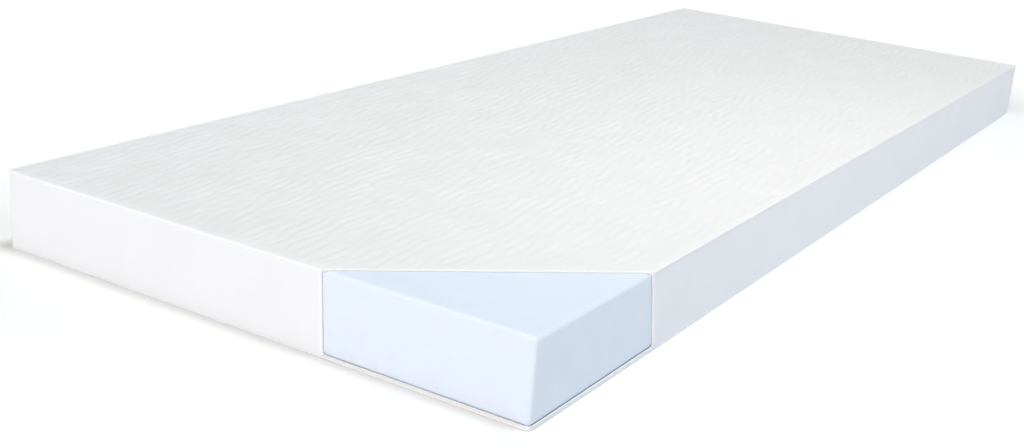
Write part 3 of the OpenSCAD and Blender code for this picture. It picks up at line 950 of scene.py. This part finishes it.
def add_label():
    lo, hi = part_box("care_label")
    path = plan_path([("run", HEAD, -hi.x, -lo.x)], 3 * MM)
    lengths = path[2][: len(path[0]), None]
    rows = np.linspace(0, 1, 12)
    z = hi.z - (hi.z - lo.z) * rows
    lift = 0.9 * MM * smoothstep((rows - 0.25) / 0.75) * (0.75 + 0.25 * np.cos(lengths / (11 * MM)))
    off_border, thickness = 0.55 * MM, 0.3 * MM
    face = BORDER_OUT - off_border - lift
    outer = np.stack([face, np.broadcast_to(z, face.shape)], axis=2)
    inner = outer[:, ::-1] + [thickness, 0]
    mesh = make_mesh("Care_label", *along_path(path, np.concatenate([outer, inner], axis=1)))
    piece = add_piece("Care_label", mesh, LABEL_SATIN, ["care_label"])
    y = HALF_L - BORDER_OUT + 0.57 * MM
    row = [(x, y, hi.z - 3 * MM) for x in (hi.x - 2 * MM, lo.x + 2 * MM)]
    seam = stitch_line(row, [(0, 1, 0)] * len(row), pitch=2.6 * MM, radius=0.2 * MM)
    add_piece("Label_stitching", make_mesh("Label_stitching", *seam), THREAD)


add_foam()
add_top_panel()
add_bottom_panel()
add_borders()
add_piping("Top", TOP_ROUTE, TOP - PIPING_R, closed=False)
add_piping("Bottom", FULL_ROUTE, PIPING_R, closed=True)
add_binding()
add_zip()
add_label()


# ---- Camera, light and floor ----

# Fitted to the corners of the mattress in the photograph.
CAMERA_LENS = 49.21
CAMERA_SENSOR = 36
CAMERA_AT = Vector((1.03518, -2.12945, 0.65632))
CAMERA_RIGHT = Vector((0.84214, 0.53386, 0.07608))
CAMERA_DOWN = Vector((0.23085, -0.22941, -0.94556))
CAMERA_AHEAD = Vector((-0.48734, 0.81386, -0.31644))


def add_camera():
    camera = bpy.data.objects.new("Camera", bpy.data.cameras.new("Camera"))
    camera.data.lens = CAMERA_LENS
    camera.data.sensor_width = CAMERA_SENSOR
    axes = Matrix((CAMERA_RIGHT, -CAMERA_DOWN, -CAMERA_AHEAD)).transposed()
    camera.matrix_world = Matrix.Translation(CAMERA_AT) @ axes.to_4x4()
    bpy.context.scene.collection.objects.link(camera)
    bpy.context.scene.camera = camera


def add_lamp(name, kind, at, towards, strength, colour, **shape):
    """A lamp at a point, facing another. A SUN's angle is how wide, in radians, its soft light comes from."""
    light = bpy.data.lights.new(name, kind)
    light.energy = strength
    light.color = colour
    for key, value in shape.items():
        setattr(light, key, value)
    lamp = bpy.data.objects.new(name, light)
    lamp.location = at
    lamp.rotation_euler = (Vector(towards) - Vector(at)).to_track_quat("-Z", "Y").to_euler()
    lamp.visible_camera = False
    bpy.context.scene.collection.objects.link(lamp)


def add_floor():
    """White paper with a glow that keeps it white, weaker beside the mattress so that its shadow shows."""
    bpy.ops.mesh.primitive_plane_add(size=60)
    floor = bpy.context.object
    floor.name = "Floor"
    material, tree, shader = new_material("Floor_paper", Roughness=0.9, Specular_IOR_Level=0.0)
    shader.inputs["Base Color"].default_value = (0.8, 0.8, 0.8, 1)
    shader.inputs["Emission Color"].default_value = (1, 1, 1, 1)
    place = node(tree, "ShaderNodeTexCoord").outputs["Object"]
    for operation, *other in (("ABSOLUTE",), ("SUBTRACT", (HALF_W, HALF_L, 0)), ("MAXIMUM", (0, 0, 0))):
        inputs = dict(enumerate([place, *other]))
        place = node(tree, "ShaderNodeVectorMath", inputs, operation=operation).outputs[0]
    away = node(tree, "ShaderNodeVectorMath", {0: place}, operation="LENGTH").outputs["Value"]
    glow = node(tree, "ShaderNodeMapRange", {"Value": away, "From Max": 0.5, "To Min": 0.12, "To Max": 0.35})
    tree.links.new(glow.outputs[0], shader.inputs["Emission Strength"])
    floor.data.materials.append(material)


def add_studio():
    add_floor()
    world = bpy.data.worlds.new("Studio")
    world.use_nodes = True
    backdrop = world.node_tree.nodes["Background"]
    backdrop.inputs["Color"].default_value = (1, 1, 1, 1)
    backdrop.inputs["Strength"].default_value = 0.3
    bpy.context.scene.world = world
    centre = (0, 0, 0)
    add_lamp("Front_light", "SUN", (0.08, -1, 0.4), centre, 1.83, (1, 0.92, 0.81), angle=1.0)
    add_lamp("Key_light", "SUN", (0.18, 0.12, 0.95), centre, 1.4, (0.87, 0.95, 1), angle=0.25)
    add_lamp("Side_fill", "SUN", (1, 0, 0.1), centre, 0.17, (0.4, 0.75, 1), angle=0.8)
    over_edge, below = (0.42, -0.3, 0.85), (0.42, -0.29, 0)
    long_box = {"shape": "RECTANGLE", "size": 0.3, "size_y": 1.5}
    add_lamp("Edge_softbox", "AREA", over_edge, below, 2.1, (1, 0.96, 0.88), **long_box)
    bpy.context.scene.view_settings.view_transform = "Standard"


add_camera()
add_studio()
